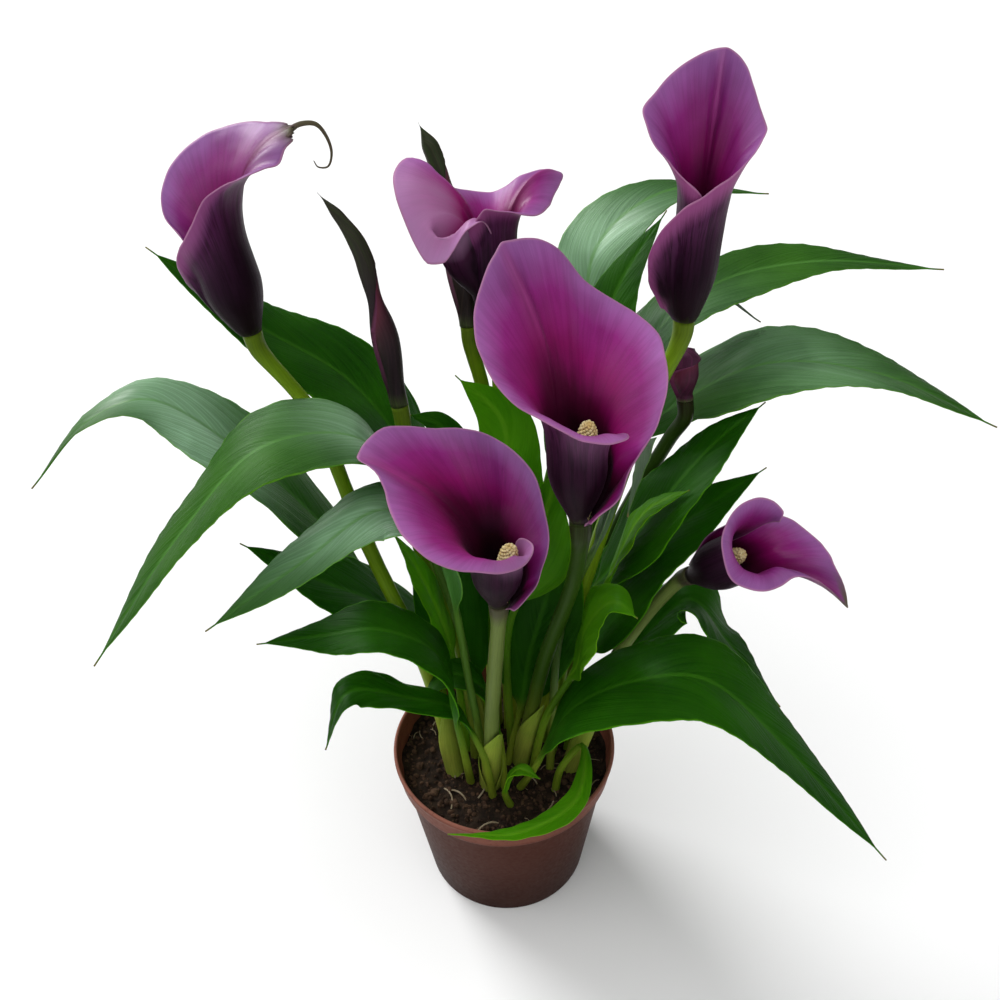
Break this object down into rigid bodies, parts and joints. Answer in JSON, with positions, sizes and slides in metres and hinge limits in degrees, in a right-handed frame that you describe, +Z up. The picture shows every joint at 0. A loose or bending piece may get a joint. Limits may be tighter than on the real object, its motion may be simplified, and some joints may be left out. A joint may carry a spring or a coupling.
{
  "type": "potted calla lily",
  "caption": "Potted calla lily with purple flowers and arching green leaves, in a round brown plastic nursery pot.",
  "frame": {"origin": "centre of the pot's flat base, on the surface it stands on", "axes": "+Z up out of the pot; -Y is the front, the side the picture is taken from; +X is the right in the picture"},
  "size_m": [0.4427, 0.2409, 0.4267],
  "materials": {
    "pot": "satin brown moulded plastic",
    "soil": "dark loose peat",
    "stem": "smooth fleshy green stem",
    "leaf": "satin green blade with fine parallel veins",
    "spathe": "silky purple, darker to the throat",
    "bud": "satin dark purple",
    "spadix": "grainy pale yellow"
  },
  "bodies": {
    "root": {"pot": "pot", "soil": "soil", "stem_left": "stem", "stem_bud_left": "stem", "stem_bud_back": "stem", "stem_back": "stem", "stem_centre": "stem", "stem_top_right": "stem", "stem_front": "stem", "stem_right": "stem", "stem_bud_hidden": "stem", "bud_left": "bud", "bud_back": "bud", "bud_hidden": "bud", "spathe_centre": "spathe", "spathe_front": "spathe", "spathe_top_right": "spathe", "spathe_left": "spathe", "spathe_back": "spathe", "spathe_right": "spathe", "spadix_centre": "spadix", "spadix_front": "spadix", "spadix_top_right": "spadix", "spadix_left": "spadix", "spadix_back": "spadix", "spadix_right": "spadix", "leaf_back_left": "leaf", "leaf_far_left": "leaf", "leaf_front_left": "leaf", "leaf_mid_left": "leaf", "leaf_low_left": "leaf", "leaf_dark_left": "leaf", "leaf_small_left": "leaf", "leaf_low_right": "leaf", "leaf_behind_right": "leaf", "leaf_dark_right": "leaf", "leaf_right": "leaf", "leaf_upper_right": "leaf", "leaf_back": "leaf", "leaf_back_dark": "leaf", "leaf_under_right": "leaf", "leaf_sliver": "leaf", "leaf_bright_centre": "leaf", "leaf_bright_small": "leaf", "leaf_round_back": "leaf", "leaf_curled_small": "leaf", "leaf_folded_right": "leaf", "leaf_yellow_edge": "leaf", "leaf_over_rim": "leaf", "leaf_sprout": "leaf", "leaf_shade_left": "leaf", "leaf_shade_right": "leaf", "leaf_bright_strip": "leaf", "leaf_low_centre": "leaf"}
  },
  "joints": []
}
